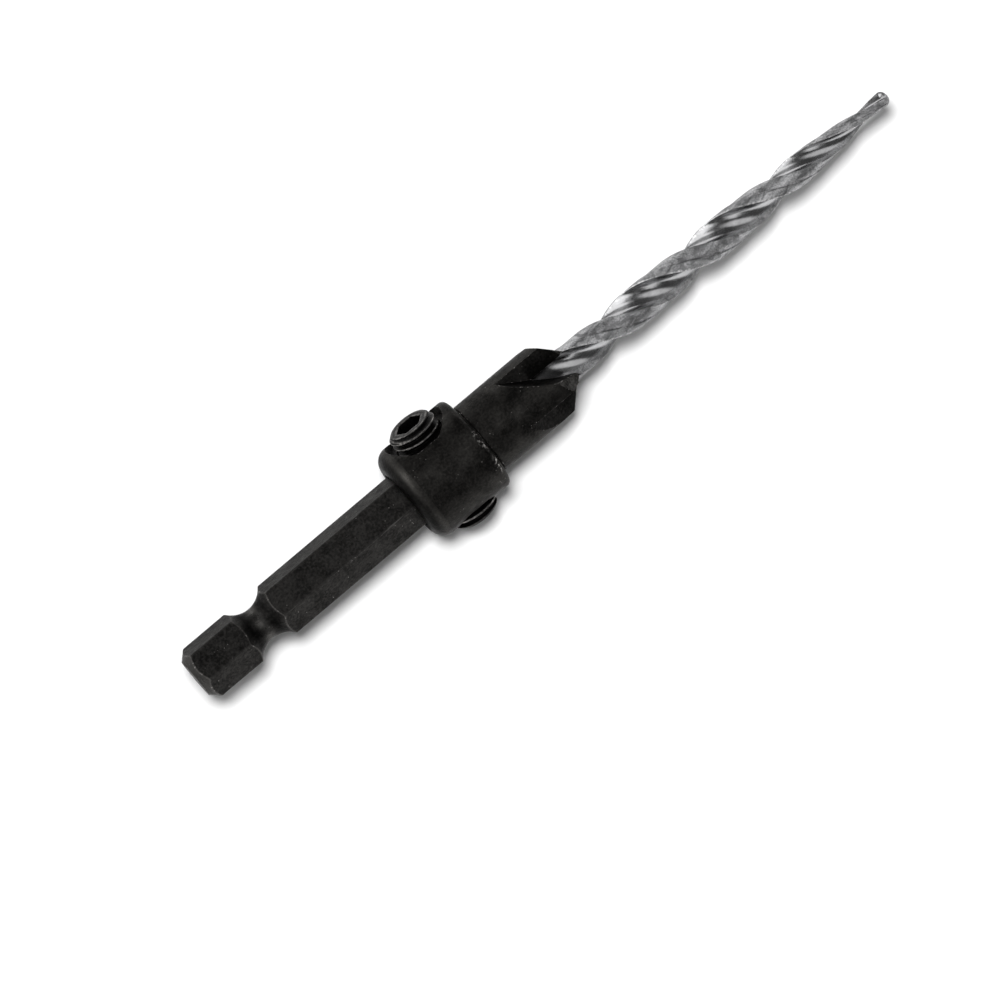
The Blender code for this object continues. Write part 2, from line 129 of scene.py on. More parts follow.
# Set screws
SCREW_DIAMETER = 6.35 * MM
SCREW_LENGTH = 4.7625 * MM
SCREW_PITCH = 25.4 * MM / 28.0
THREAD_CREST_DIAMETER = 6.20 * MM
THREAD_DEPTH = 0.58 * SCREW_PITCH
THREAD_CREST_SHARE = 0.16
THREAD_ROOT_SHARE = 0.22
THREAD_SOFTNESS = 0.35
SCREW_EDGE_BLEND = 0.05 * MM
SCREW_END_GAP = 0.02 * MM
SCREW_FROM_COLLAR_REAR = 5.75 * MM
SCREW_ANGLE = radians(67.5)
SCREW_TOP_CHAMFER = 0.60 * MM
SCREW_POINT_CHAMFER = 0.90 * MM
SCREW_CUP_DIAMETER = 3.20 * MM
SCREW_CUP_DEPTH = 0.45 * MM
SOCKET_ACROSS_FLATS = 3.175 * MM
SOCKET_FLAT_ANGLE = radians(0.0)
SOCKET_DEPTH = 2.40 * MM
SOCKET_CONE_DEPTH = 0.50 * MM
SPOTFACE_MARGIN = 0.925 * MM
SPOTFACE_DEPTH = 1.27 * MM

# Twist drill
DRILL_SHANK_DIAMETER = 4.7625 * MM
DRILL_END_CHAMFER = 0.40 * MM
DRILL_BODY_UNDERSIZE = 0.16 * MM
DRILL_LEAD = 26.0 * MM
DRILL_FLUTE_PHASE = radians(90.0)
DRILL_PHASE_FROM_POINT = 43.1 * MM
DRILL_FLUTED_LENGTH = 55.5 * MM
DRILL_RUNOUT_LENGTH = 6.0 * MM
DRILL_TAPER_LENGTH = 34.6 * MM
DRILL_TAPER_POWER = 3.0
DRILL_PILOT_DIAMETER = 1.95 * MM
DRILL_PILOT_LENGTH = 2.5 * MM
DRILL_POINT_LENGTH = 0.80 * MM
DRILL_POINT_FLUTE_SHARE = 0.45
FLUTE_HALF_ANGLE = radians(49.0)
WEB_SHARE = 0.24
MARGIN_ANGLE = radians(30.0)
MARGIN_STEP_ANGLE = radians(7.0)
LAND_CLEARANCE_SHARE = 0.060

# Worked out from the sizes above
HEX_APOTHEM = HEX_ACROSS_FLATS / 2.0
HEX_CORNER_RADIUS = HEX_ACROSS_FLATS / sqrt(3.0) - HEX_CORNER_BREAK
BORE_RADIUS = DRILL_SHANK_DIAMETER / 2.0 + FIT_CLEARANCE
COLLAR_RADIUS = COLLAR_DIAMETER / 2.0
CUTTER_RADIUS = CUTTER_DIAMETER / 2.0
CONE_LENGTH = (CUTTER_RADIUS - BORE_RADIUS) / tan(CUTTER_CONE_HALF_ANGLE)
RECESS_RADIUS = HEX_CORNER_RADIUS + RECESS_MARGIN
RECESS_FLOOR_STATION = COLLAR_REAR_STATION + RECESS_DEPTH
COLLAR_FRONT_STATION = COLLAR_REAR_STATION + COLLAR_LENGTH
CONE_CORNER_STATION = COLLAR_FRONT_STATION + CUTTER_CYLINDER_LENGTH
SCREW_STATION = COLLAR_REAR_STATION + SCREW_FROM_COLLAR_REAR
SCREW_TOP_RADIUS = SCREW_DIAMETER / 2.0 - SCREW_TOP_CHAMFER
FLUTE_STATION = TOOL_LENGTH - DRILL_FLUTED_LENGTH
POINT_STATION = TOOL_LENGTH - DRILL_POINT_LENGTH
CLEARED_SHARE = 1.0 - LAND_CLEARANCE_SHARE

# The photograph's view
PHOTO_SIZE = 1000.0
PHOTO_REAR_PIXEL = (196.5, 677.9)
PHOTO_TIP_PIXEL = (888.6, 93.5)
CAMERA_LEAN = radians(4.5)
CAMERA_DISTANCE = 1.0

# Wear, polish with a painted highlight, and painted shade
CORNER_WEAR = 0.35
RIM_WEAR = 0.8
CHAMFER_POLISH_HIGHLIGHT = 0.5
GROOVE_BED_WIDTH = 0.90 * MM
GROOVE_SHADE = 0.8
GROOVE_SHADE_OFFSET = 1.45 * MM
GROOVE_SHADE_WIDTH = 1.00 * MM
COLLAR_PLAIN_POLISH_HIGHLIGHT = 0.25
COLLAR_SHADE = 0.7
COLLAR_RIM_GAIN = 1.6
SCREW_EDGE_WEAR = 0.6
SOCKET_LIP_WEAR = 0.35
THREAD_WORN_FROM = 0.8
THREAD_ROOT_SHADE = 0.7
SCREW_CHAMFER_SHADE = 0.45
SOCKET_SHADE = 0.9
HEEL_GROUND_SHARE = 0.14
CUTTING_EDGE_FADE = 9.0
MARGIN_STEP_SHADE = 0.6
MARGIN_STEP_LEVEL = 1.4
MARGIN_STEP_FADE = 22.0

# Patches round the collar: middle angle and half width of each, in degrees. The polished ones carry a
# painted highlight; the rubbed ones are wear.
COLLAR_POLISH_HIGHLIGHT_PATCHES = ((21.0, 20.0), (-140.0, 25.0))
COLLAR_RUBBED_PATCHES = ((-2.0, 16.0), (-38.0, 14.0), (150.0, 30.0), (-150.0, 30.0))

# Black oxide
SHANK_TONE = (0.0255, 0.0246, 0.0234)
CUTTER_TONE = (0.0240, 0.0230, 0.0215)
# Darker than the cutter's tone: painted shade in the notches and screw seats
NOTCH_SHADE_TONE = (0.0115, 0.0110, 0.0104)
RELIEF_TONE = (0.0540, 0.0524, 0.0497)
SCREW_TONE = (0.0150, 0.0146, 0.0142)
BARE_OXIDE_TONE = (0.55, 0.53, 0.51)
# Tone that painted shade darkens the oxide towards
PAINTED_SHADE_TONE = (0.0015, 0.0015, 0.0015)
OXIDE_METAL_SHARE = 0.92
OXIDE_SHEEN = (0.55, 0.55, 0.55)
OXIDE_SPECK_SHARE = 0.6
# How much lighter polished places are painted, a painted highlight
OXIDE_HIGHLIGHT_GAIN = 3.0
OXIDE_POLISH_SMOOTHING = 0.14
OXIDE_ROUGH_SPREAD = (0.07, 0.10)
OXIDE_CLOUD_SIZE = 2.2 * MM
OXIDE_GRAIN_SIZE = 0.30 * MM
OXIDE_LINE_SIZE = 1.0 * MM
OXIDE_SPECK_SPACING = 0.55 * MM
OXIDE_SPECK_PATCH_SIZE = 1.3 * MM
OXIDE_WEAR_SIZE = 0.42 * MM
OXIDE_ROUGH_SIZE = 0.8 * MM
OXIDE_PIT_DEPTH = 0.020 * MM
OXIDE_LINE_DEPTH = 0.008 * MM
OXIDE_WAVE_DEPTH = 0.015 * MM

# How patterns are squeezed along each axis, below 1 where drawn out
DRAWN_LINES = (0.05, 6.0, 6.0)
DRAWN_WEAR = (0.08, 1.5, 1.5)
TURNED_LINES = (6.0, 0.4, 0.4)
GROUND_LINES = (0.35, 1.0, 1.0)
GROUND_CURLS = (0.6, 1.0, 1.0)
EVEN = (1.0, 1.0, 1.0)

# Bright steel, in pairs a darker and a lighter tone
FLUTE_TONES = ((0.42, 0.42, 0.425), (0.56, 0.56, 0.57))
LAND_TONES = ((0.23, 0.23, 0.234), (0.54, 0.54, 0.55))
CURL_TONES = ((0.13, 0.13, 0.133), (0.66, 0.66, 0.67))
CHIPPED_TONE = (0.85, 0.85, 0.85)
DRILL_SHADE_TONE = (0.04, 0.04, 0.04)
DRILL_SPECK_TONE = (0.05, 0.05, 0.05)
LAND_METAL_SHARE = 0.70
STEEL_SHEEN = (0.40, 0.40, 0.40)
STEEL_SPECK_SHARE = 0.5
STEEL_CLOUD_SIZE = 1.4 * MM
STEEL_GRAIN_SIZE = 0.20 * MM
STEEL_LINE_SIZE = 0.16 * MM
STEEL_NICK_SIZE = 0.30 * MM
STEEL_SHADE_PATCH_SIZE = 0.9 * MM
STEEL_CURL_SIZE = 1.5 * MM
STEEL_SPECK_SPACING = 0.60 * MM
STEEL_LINE_DEPTH = 0.006 * MM
STEEL_PIT_DEPTH = 0.020 * MM

# Studio
FLOOR_REACH = 4.0
FLOOR_TONE = (0.90, 0.90, 0.90)
FLOOR_GLOW = 0.02
ROOM_LEVEL = 0.07
MATT_SHARE = 0.45
HORIZON_TOP = 0.06
HORIZON_FADE = 0.12

# Panels: azimuth from +X to +Y, elevation, bright radius and outer radius in degrees, and level
PANELS = (
    (-5.0, 78.0, 16.0, 32.0, 0.88),
    (124.0, 40.0, 7.0, 15.0, 1.5),
    (138.0, 30.0, 12.0, 19.0, 1.6),
    (162.0, 38.0, 15.0, 21.0, 1.8),
    (-174.0, 41.0, 12.0, 19.0, 1.8),
    (-112.0, 42.0, 5.0, 10.0, 1.1),
    (-112.0, 27.0, 6.0, 11.0, 1.2),
    (-112.0, 12.0, 6.0, 11.0, 1.2),
    (30.0, 38.0, 10.0, 36.0, 0.20),
    (106.0, 20.0, 4.0, 18.0, 0.45),
)

# Lamp
KEY_DIRECTION = (-0.05, 0.19, 1.0)
KEY_DISTANCE = 1.5
KEY_SIZE = 0.38
KEY_WATTS = 23.6


def outward(angle):
    """Unit vector straight out from the tool's axis at an angle round it."""
    return Vector((0.0, sin(angle), cos(angle)))


def onward(angle):
    """Unit vector round the tool's axis, the way the angle grows."""
    return Vector((0.0, cos(angle), -sin(angle)))


def axis_point(station):
    """Point on the tool's axis."""
    return Vector((REAR_X + station, 0.0, AXIS_Z))


def rings_round_axis(stations, radii, angles):
    """Points at stations and radii round the tool's axis, for arrays that fit together."""
    x = REAR_X + stations + 0.0 * radii * angles
    return np.stack([x, radii * np.sin(angles), AXIS_Z + radii * np.cos(angles)], axis=-1)


def smooth_min(a, b, width):
    """Lesser of two lengths, rounded over where they come within width of each other."""
    near = np.maximum(width - np.abs(a - b), 0.0)
    return np.minimum(a, b) - near ** 2 / (4.0 * width)


def closeness(a, b, width):
    """1 where two lengths are equal, falling to 0 where they are width apart."""
    return np.clip(1.0 - np.abs(a - b) / width, 0.0, 1.0)


def eased(share):
    """A share from 0 to 1, made to start and end slowly."""
    return share * share * (3.0 - 2.0 * share)


def nearest_patch(angles, patches):
    """Closeness of angles in degrees to the nearest of some patches round the tool."""
    return np.maximum.reduce([closeness(angles, middle, width) for middle, width in patches])


def spaced(spans):
    """Rising values that fill spans of (start, end, step) one after another."""
    values = [np.linspace(start, end, round((end - start) / step), endpoint=False)
              for start, end, step in spans]
    return np.append(np.concatenate(values), spans[-1][1])


def add_object(name, data):
    """Put a mesh, lamp or camera in the scene."""
    piece = bpy.data.objects.new(name, data)
    bpy.context.scene.collection.objects.link(piece)
    return piece


def add_mark(mesh, mark, values):
    """Store a share at each point of a mesh, for its material to read."""
    layer = mesh.attributes.new(mark, "FLOAT", "POINT")
    layer.data.foreach_set("value", values.astype(np.float32))


def loft(name, rings, start_pole, end_pole, marks):
    """Closed skin over rings of points from one pole to the other, with marks per point."""
    count, size = rings.shape[:2]
    points = np.concatenate([rings.reshape(-1, 3), [start_pole, end_pole]])
    index = np.arange(count * size).reshape(count, size)
    after = np.roll(index, -1, axis=1)
    quads = np.stack([index[:-1], index[1:], after[1:], after[:-1]], axis=-1).reshape(-1, 4)
    first = np.stack([np.full(size, count * size), index[0], after[0]], axis=-1)
    last = np.stack([index[-1], np.full(size, count * size + 1), after[-1]], axis=-1)
    mesh = bpy.data.meshes.new(name)
    mesh.from_pydata(points.tolist(), [], quads.tolist() + first.tolist() + last.tolist())
    mesh.shade_smooth()
    for mark, values in marks.items():
        add_mark(mesh, mark, np.append(values, [values[0].mean(), values[-1].mean()]))
    return add_object(name, mesh)


def arc(centre, radius, start, end, steps):
    """Points (station, distance from the axis) on an arc, both ends included."""
    angles = np.linspace(start, end, steps + 1)
    return [(centre[0] + radius * cos(angle), centre[1] + radius * sin(angle)) for angle in angles]


# Hex shank

def six_sided_angles(per_side, flat_angle, crowding):
    """Angles round a hexagon whose first flat faces flat_angle, closest together at its corners."""
    share = np.arange(per_side) / per_side
    side = share - crowding * np.sin(2.0 * pi * share) / (2.0 * pi)
    turns = [flat_angle + HEX_SECTOR * (number + 0.5 + side) for number in range(6)]
    return np.concatenate(turns)[None, :]


def turn_from_flat(angles, flat_angle):
    """Turn of each angle from the middle of its nearest flat of a hexagon."""
    return (angles - flat_angle + HEX_SECTOR / 2.0) % HEX_SECTOR - HEX_SECTOR / 2.0


def hexagon_radius(angles):
    """Distance from the axis to the broken-edged hexagon, and how near each point is to an edge."""
    turn = turn_from_flat(angles, HEX_FLAT_ANGLE)
    near = HEX_APOTHEM / np.cos(turn)
    far = HEX_APOTHEM / np.cos(HEX_SECTOR - np.abs(turn))
    return smooth_min(near, far, HEX_EDGE_BLEND), closeness(near, far, 2.0 * HEX_EDGE_BLEND)


def blank_radius(stations):
    """Radius that the lathe leaves at each station of the shank: its end chamfers and the groove."""
    wide = 2.0 * HEX_CORNER_RADIUS
    rear = HEX_APOTHEM - SHANK_REAR_CHAMFER + stations
    front = HEX_CORNER_RADIUS - SHANK_FRONT_CHAMFER + SHANK_LENGTH - stations
    offset = np.abs(stations - GROOVE_STATION)
    inside = np.sqrt(np.maximum(GROOVE_ARC_RADIUS ** 2 - offset ** 2, 0.0))
    groove = HEX_APOTHEM - GROOVE_DEPTH + GROOVE_ARC_RADIUS - inside
    groove = np.where(offset < GROOVE_ARC_RADIUS, groove, wide)
    return np.minimum(np.minimum(rear, front), np.minimum(groove, wide))


def shank_stations():
    """Stations of the shank's side, close together where the lathe has cut."""
    fine, coarse = 0.045 * MM, 0.5 * MM
    chamfer_end = 2.0 * SHANK_REAR_CHAMFER
    groove_start = GROOVE_STATION - GROOVE_ARC_RADIUS
    groove_end = GROOVE_STATION + GROOVE_ARC_RADIUS
    front_start = SHANK_LENGTH - 0.5 * MM
    return spaced([
        (SHANK_RIM_ROUNDING, chamfer_end, fine),
        (chamfer_end, groove_start, coarse),
        (groove_start, groove_end, fine),
        (groove_end, front_start, coarse),
        (front_start, SHANK_LENGTH, fine),
    ])[:, None]


def shank_ends():
    """Points (station, radius) of the rear face, from its middle out, and of the bore, mouth first."""
    rim = SHANK_RIM_ROUNDING
    lip = 0.3 * MM
    face_radius = HEX_APOTHEM - SHANK_REAR_CHAMFER + rim
    face = [(0.0, face_radius * share) for share in (0.25, 0.5, 0.75, 0.9)]
    face += arc((rim, face_radius - rim), rim, pi, pi / 2.0, 5)[:-1]
    mouth = SHANK_LENGTH
    bore_floor = mouth - SHANK_BORE_DEPTH
    inside = [(mouth, BORE_RADIUS + lip), (mouth, BORE_RADIUS), (mouth - rim, BORE_RADIUS)]
    inside += [(bore_floor + rim, BORE_RADIUS), (bore_floor, BORE_RADIUS)]
    return face, inside


def circles(points, angles):
    """Rings round the axis through points (station, radius)."""
    table = np.array(points)
    return rings_round_axis(table[:, :1], table[:, 1:], angles)


def make_hex_shank():
    """Drawn hexagon bar with turned ends, its ball groove and the bore for the drill."""
    angles = six_sided_angles(40, HEX_FLAT_ANGLE, 0.7)
    stations = shank_stations()
    hexagon, corner = hexagon_radius(angles)
    hexagon, blank = np.broadcast_arrays(hexagon, blank_radius(stations))
    side = rings_round_axis(stations, smooth_min(hexagon, blank, SHANK_CUT_BLEND), angles)
    face, inside = shank_ends()
    rings = np.concatenate([circles(face, angles), side, circles(inside, angles)])

    wear, polish_and_highlight, painted_shade = (np.zeros(rings.shape[:2]) for _ in range(3))
    sides = slice(len(face), len(face) + len(side))
    cut_edge = closeness(hexagon, blank, 3.0 * SHANK_CUT_BLEND)
    wear[sides] = np.maximum(cut_edge, CORNER_WEAR * corner * (blank > hexagon))
    wear[len(face) - 4:len(face)] = RIM_WEAR
    # Turned places are polished with a painted highlight, strongest in the middle of the groove's bed and
    # half as much on the chamfers; the groove's flanks get painted shade
    turned = np.clip((hexagon - blank) / SHANK_CUT_BLEND, 0.0, 1.0)
    offset = np.abs(stations - GROOVE_STATION)
    bed = closeness(offset, 0.0, GROOVE_BED_WIDTH)
    polish_and_highlight[sides] = turned * np.where(offset < GROOVE_ARC_RADIUS, bed, CHAMFER_POLISH_HIGHLIGHT)
    painted_shade[sides] = turned * GROOVE_SHADE * closeness(offset, GROOVE_SHADE_OFFSET, GROOVE_SHADE_WIDTH)
    marks = {"wear": wear, "polish_and_highlight": polish_and_highlight, "painted_shade": painted_shade}
    bore_point = SHANK_LENGTH - SHANK_BORE_DEPTH - BORE_RADIUS / tan(SHANK_BORE_POINT_HALF_ANGLE)
    return loft("hex_shank_fine", rings, axis_point(0.0), axis_point(bore_point), marks)


# Collar and cutter

def turned_solid(name, outline, segments):
    """Revolve a closed outline of (station, radius) points round the tool's axis."""
    solid = bmesh.new()
    start = outward(pi / segments)
    verts = [solid.verts.new(axis_point(station) + start * radius) for station, radius in outline]
    edges = [solid.edges.new(pair) for pair in zip(verts, verts[1:] + verts[:1])]
    bmesh.ops.spin(solid, geom=verts + edges, cent=axis_point(0.0), axis=ALONG,
                   angle=2.0 * pi, steps=segments, use_merge=True)
    bmesh.ops.remove_doubles(solid, verts=solid.verts, dist=1e-8)
    return mesh_from(name, solid)


def mesh_from(name, solid):
    """Turn a bmesh into a mesh with its faces pointing out."""
    bmesh.ops.recalc_face_normals(solid, faces=solid.faces)
    mesh = bpy.data.meshes.new(name)
    solid.to_mesh(mesh)
    solid.free()
    return mesh


def block(corner, sides):
    """A block: for each side its direction, and how far from a corner point it starts and ends."""
    solid = bmesh.new()
    shape = Matrix([axis * (end - start) for axis, start, end in sides]).transposed().to_4x4()
    shape.translation = sum((axis * (start + end) / 2.0 for axis, start, end in sides), corner)
    bmesh.ops.create_cube(solid, size=1.0, matrix=shape)
    return mesh_from("block", solid)


def round_bar(direction, radius, near, far):
    """A cylinder across the tool at its screws, from one distance off the axis to another."""
    solid = bmesh.new()
    shape = Matrix((ALONG, direction.cross(ALONG), direction)).transposed().to_4x4()
    shape.translation = axis_point(SCREW_STATION) + direction * (near + far) / 2.0
    bmesh.ops.create_cone(solid, cap_ends=True, segments=128, radius1=radius, radius2=radius,
                          depth=far - near, matrix=shape)
    return mesh_from("round_bar", solid)


def carve(piece, cutter_mesh):
    """Cut one mesh out of a piece with an exact Boolean, then drop the cutter."""
    cutter = add_object("cutter", cutter_mesh)
    step = piece.modifiers.new("carve", "BOOLEAN")
    step.operation = "DIFFERENCE"
    step.solver = "EXACT"
    step.object = cutter
    bpy.context.view_layer.update()
    whole = piece.evaluated_get(bpy.context.evaluated_depsgraph_get())
    result = bpy.data.meshes.new_from_object(whole)
    piece.modifiers.clear()
    old = piece.data
    piece.data = result
    bpy.data.objects.remove(cutter)
    bpy.data.meshes.remove(cutter_mesh)
    bpy.data.meshes.remove(old)
    result.name = piece.name


def cutter_outline():
    """Closed outline of the collar, the cutter and its cone, and the bore."""
    rear, front = COLLAR_REAR_ROUNDING, COLLAR_FRONT_ROUNDING
    outline = arc((COLLAR_REAR_STATION + rear, COLLAR_RADIUS - rear), rear, pi, pi / 2.0, 20)
    outline += arc((COLLAR_FRONT_STATION - front, COLLAR_RADIUS - front), front, pi / 2.0, 0.0, 12)
    undercut_radius = CUTTER_RADIUS - UNDERCUT_DEPTH
    undercut_end = COLLAR_FRONT_STATION + UNDERCUT_WIDTH
    return outline + [
        (COLLAR_FRONT_STATION, undercut_radius),
        (undercut_end, undercut_radius),
        (undercut_end + UNDERCUT_DEPTH, CUTTER_RADIUS),
        (CONE_CORNER_STATION, CUTTER_RADIUS),
        (CONE_CORNER_STATION + CONE_LENGTH, BORE_RADIUS),
        (RECESS_FLOOR_STATION + BORE_CHAMFER, BORE_RADIUS),
        (RECESS_FLOOR_STATION, BORE_RADIUS + BORE_CHAMFER),
        (RECESS_FLOOR_STATION, RECESS_RADIUS),
        (COLLAR_REAR_STATION, RECESS_RADIUS),
    ]


def notch(angle):
    """V notch in front of one tooth: its face runs along the tool, its hollow floor slopes inwards."""
    face_out = outward(angle + TOOTH_FACE_TILT)
    floor_out = outward(angle + TOOTH_FACE_TILT - NOTCH_ANGLE)
    start = axis_point(CONE_CORNER_STATION - NOTCH_LENGTH) + outward(angle) * CUTTER_RADIUS
    reach = NOTCH_LENGTH + CUTTER_RADIUS - BORE_RADIUS
    wide = CUTTER_DIAMETER
    steps, spare_steps = 16, 4
    solid = bmesh.new()
    rings = []
    for step in range(-spare_steps, steps + spare_steps + 1):
        share = step / steps
        hollow = 4.0 * NOTCH_HOLLOW * max(share * (1.0 - share), 0.0)
        depth = reach * share * tan(NOTCH_FLOOR_SLOPE) + hollow
        corner = start + ALONG * (reach * share) - face_out * depth
        sides = (Vector(), face_out * wide, (face_out + floor_out) * wide, floor_out * wide)
        rings.append([solid.verts.new(corner + side) for side in sides])
    for before, after in zip(rings, rings[1:]):
        for number in range(4):
            solid.faces.new((before[number - 1], before[number], after[number], after[number - 1]))
    solid.faces.new(rings[0])
    solid.faces.new(rings[-1])
    return mesh_from("notch", solid)


def relief(angle):
    """Flat ground behind one tooth's cutting edge, falling away from the cone."""
    face_angle = angle + TOOTH_FACE_TILT
    offset = CUTTER_RADIUS * sin(TOOTH_FACE_TILT)
    inner_angle = face_angle - asin(offset / BORE_RADIUS)
    corner = axis_point(CONE_CORNER_STATION) + outward(angle) * CUTTER_RADIUS
    inner = axis_point(CONE_CORNER_STATION + CONE_LENGTH) + outward(inner_angle) * BORE_RADIUS
    edge = (inner - corner).normalized()
    back = onward(face_angle)
    square = edge.cross(back)
    normal = square * cos(TOOTH_RELIEF_ANGLE) + back * sin(TOOTH_RELIEF_ANGLE)
    behind = back * cos(TOOTH_RELIEF_ANGLE) - square * sin(TOOTH_RELIEF_ANGLE)
    spare = RELIEF_OVERRUN * BORE_RADIUS
    return block(corner, (
        (edge, -CUTTER_RADIUS, (inner - corner).length + spare),
        (normal, 0.0, CUTTER_RADIUS),
        (behind, -spare, CUTTER_RADIUS),
    ))


def merge_close(solid):
    """Join points that lie together and drop what that leaves without size."""
    bmesh.ops.remove_doubles(solid, verts=solid.verts, dist=2e-7)
    bmesh.ops.dissolve_degenerate(solid, edges=solid.edges, dist=2e-7)


def soften(piece):
    """Bevel every sharp edge a little, and give the new faces the second material."""
    solid = bmesh.new()
    solid.from_mesh(piece.data)
    merge_close(solid)
    sharp = [edge for edge in solid.edges if edge.is_manifold and edge.calc_face_angle() > EDGE_BEVEL_ANGLE]
    bmesh.ops.bevel(solid, geom=sharp, offset=EDGE_BEVEL, offset_type="OFFSET", segments=2, profile=0.5,
                    affect="EDGES", clamp_overlap=False, material=1)
    merge_close(solid)
    solid.to_mesh(piece.data)
    solid.free()
    piece.data.shade_smooth()
    piece.data.set_sharp_from_angle(angle=EDGE_BEVEL_ANGLE)


def sort_cutter_faces(mesh):
    """Give the notches and screw seats the third material, which paints shade into them, and the ground
    relief flats the fourth.
    """
    seat_reach = SCREW_DIAMETER / 2.0 + SPOTFACE_MARGIN + EDGE_BEVEL
    skin = 0.01 * MM
    relief_facing = 0.62
    for face in mesh.polygons:
        if face.material_index:
            continue
        station = face.center.x - REAR_X
        radius = sqrt(face.center.y ** 2 + (face.center.z - AXIS_Z) ** 2)
        in_seat = abs(station - SCREW_STATION) < seat_reach and radius < COLLAR_RADIUS - FIT_CLEARANCE
        on_tooth = station > CONE_CORNER_STATION - NOTCH_LENGTH and radius < CUTTER_RADIUS - skin
        if radius < BORE_RADIUS + FIT_CLEARANCE:
            continue
        if on_tooth and face.normal.x > relief_facing:
            face.material_index = 3
        elif in_seat or on_tooth:
            face.material_index = 2


def mark_collar(mesh):
    """Note where the collar's rear rounding is polished with a painted highlight or darkened with painted
    shade, and where its front rim is rubbed.
    """
    places = np.empty(len(mesh.vertices) * 3)
    mesh.vertices.foreach_get("co", places)
    places = places.reshape(-1, 3)
    stations = places[:, 0] - REAR_X
    radii = np.hypot(places[:, 1], places[:, 2] - AXIS_Z)
    turn = (COLLAR_REAR_STATION + COLLAR_REAR_ROUNDING - stations) / COLLAR_REAR_ROUNDING
    angles = np.degrees(np.arctan2(places[:, 1], places[:, 2] - AXIS_Z))
    # Polish with a painted highlight over the front of the rear rounding, strongest in the listed patches
    polish_and_highlight = np.interp(turn, [0.0, 0.08, 0.40, 0.70], [0.0, 1.0, 1.0, 0.2])
    patches = nearest_patch(angles, COLLAR_POLISH_HIGHLIGHT_PATCHES)
    polish_and_highlight = polish_and_highlight * (COLLAR_PLAIN_POLISH_HIGHLIGHT + (1.0 - COLLAR_PLAIN_POLISH_HIGHLIGHT) * patches)
    # Painted shade darkening the rear of the rounding, next to the shank
    painted_shade = np.interp(turn, [0.35, 0.65], [0.0, COLLAR_SHADE])
    rim_station = COLLAR_FRONT_STATION - 0.3 * COLLAR_FRONT_ROUNDING
    rim = closeness(stations, rim_station, 0.6 * COLLAR_FRONT_ROUNDING)
    rim = rim * (radii > CUTTER_RADIUS + COLLAR_FRONT_ROUNDING)
    rim = rim * np.clip(COLLAR_RIM_GAIN * nearest_patch(angles, COLLAR_RUBBED_PATCHES), 0.0, 1.0)
    add_mark(mesh, "polish_and_highlight", polish_and_highlight)
    add_mark(mesh, "wear", rim)
    add_mark(mesh, "painted_shade", painted_shade)


def make_cutter_body():
    """Collar and cutter from one bar: turned, cross-drilled, spot-faced, notched and ground."""
    piece = add_object("cutter_body_fine", turned_solid("cutter_body_fine", cutter_outline(), 192))
    screw_out = outward(SCREW_ANGLE)
    hole_radius = SCREW_DIAMETER / 2.0 + FIT_CLEARANCE
    seat_radius = SCREW_DIAMETER / 2.0 + SPOTFACE_MARGIN
    seat_height = COLLAR_RADIUS - SPOTFACE_DEPTH
    for direction in (screw_out, -screw_out):
        carve(piece, round_bar(direction, seat_radius, seat_height, COLLAR_DIAMETER))
    carve(piece, round_bar(screw_out, hole_radius, -COLLAR_DIAMETER, COLLAR_DIAMETER))
    for tooth in range(TOOTH_COUNT):
        angle = TOOTH_EDGE_ANGLE + tooth * 2.0 * pi / TOOTH_COUNT
        carve(piece, notch(angle))
        carve(piece, relief(angle))
    soften(piece)
    sort_cutter_faces(piece.data)
    mark_collar(piece.data)
    return piece


# Set screws

def thread_radius(heights, angles):
    """Radius of a 60 degree screw thread with flat crests and roots, and how near a crest each point is."""
    turn = (heights / SCREW_PITCH - angles / (2.0 * pi)) % 1.0
    flank = np.abs(turn - 0.5) * 2.0
    rise = np.clip((flank - THREAD_ROOT_SHARE) / (1.0 - THREAD_CREST_SHARE - THREAD_ROOT_SHARE), 0.0, 1.0)
    rise = THREAD_SOFTNESS * eased(rise) + (1.0 - THREAD_SOFTNESS) * rise
    return THREAD_CREST_DIAMETER / 2.0 - THREAD_DEPTH * (1.0 - rise), rise


def screw_side(angles):
    """Heights and radii of the screw's threaded side, with its wear and its painted shade."""
    heights = np.linspace(SCREW_END_GAP, SCREW_LENGTH - SCREW_END_GAP, 130)[:, None]
    thread, crest = thread_radius(heights, angles)
    cup_radius = SCREW_CUP_DIAMETER / 2.0
    slope = (THREAD_CREST_DIAMETER / 2.0 - cup_radius) / SCREW_POINT_CHAMFER
    lathe = np.minimum(cup_radius + heights * slope, SCREW_TOP_RADIUS + SCREW_LENGTH - heights)
    radii = smooth_min(thread, lathe, SCREW_EDGE_BLEND)
    worn_crest = np.clip((crest - THREAD_WORN_FROM) / (1.0 - THREAD_WORN_FROM), 0.0, 1.0)
    wear = np.maximum(worn_crest, closeness(thread, lathe, 2.0 * SCREW_EDGE_BLEND))
    wear = wear * (thread < lathe + SCREW_EDGE_BLEND)
    # Painted shade in the thread roots and over the chamfers
    shade_level = np.where(thread < lathe, THREAD_ROOT_SHADE * (1.0 - crest), SCREW_CHAMFER_SHADE)
    return heights[:, 0], radii, wear, shade_level


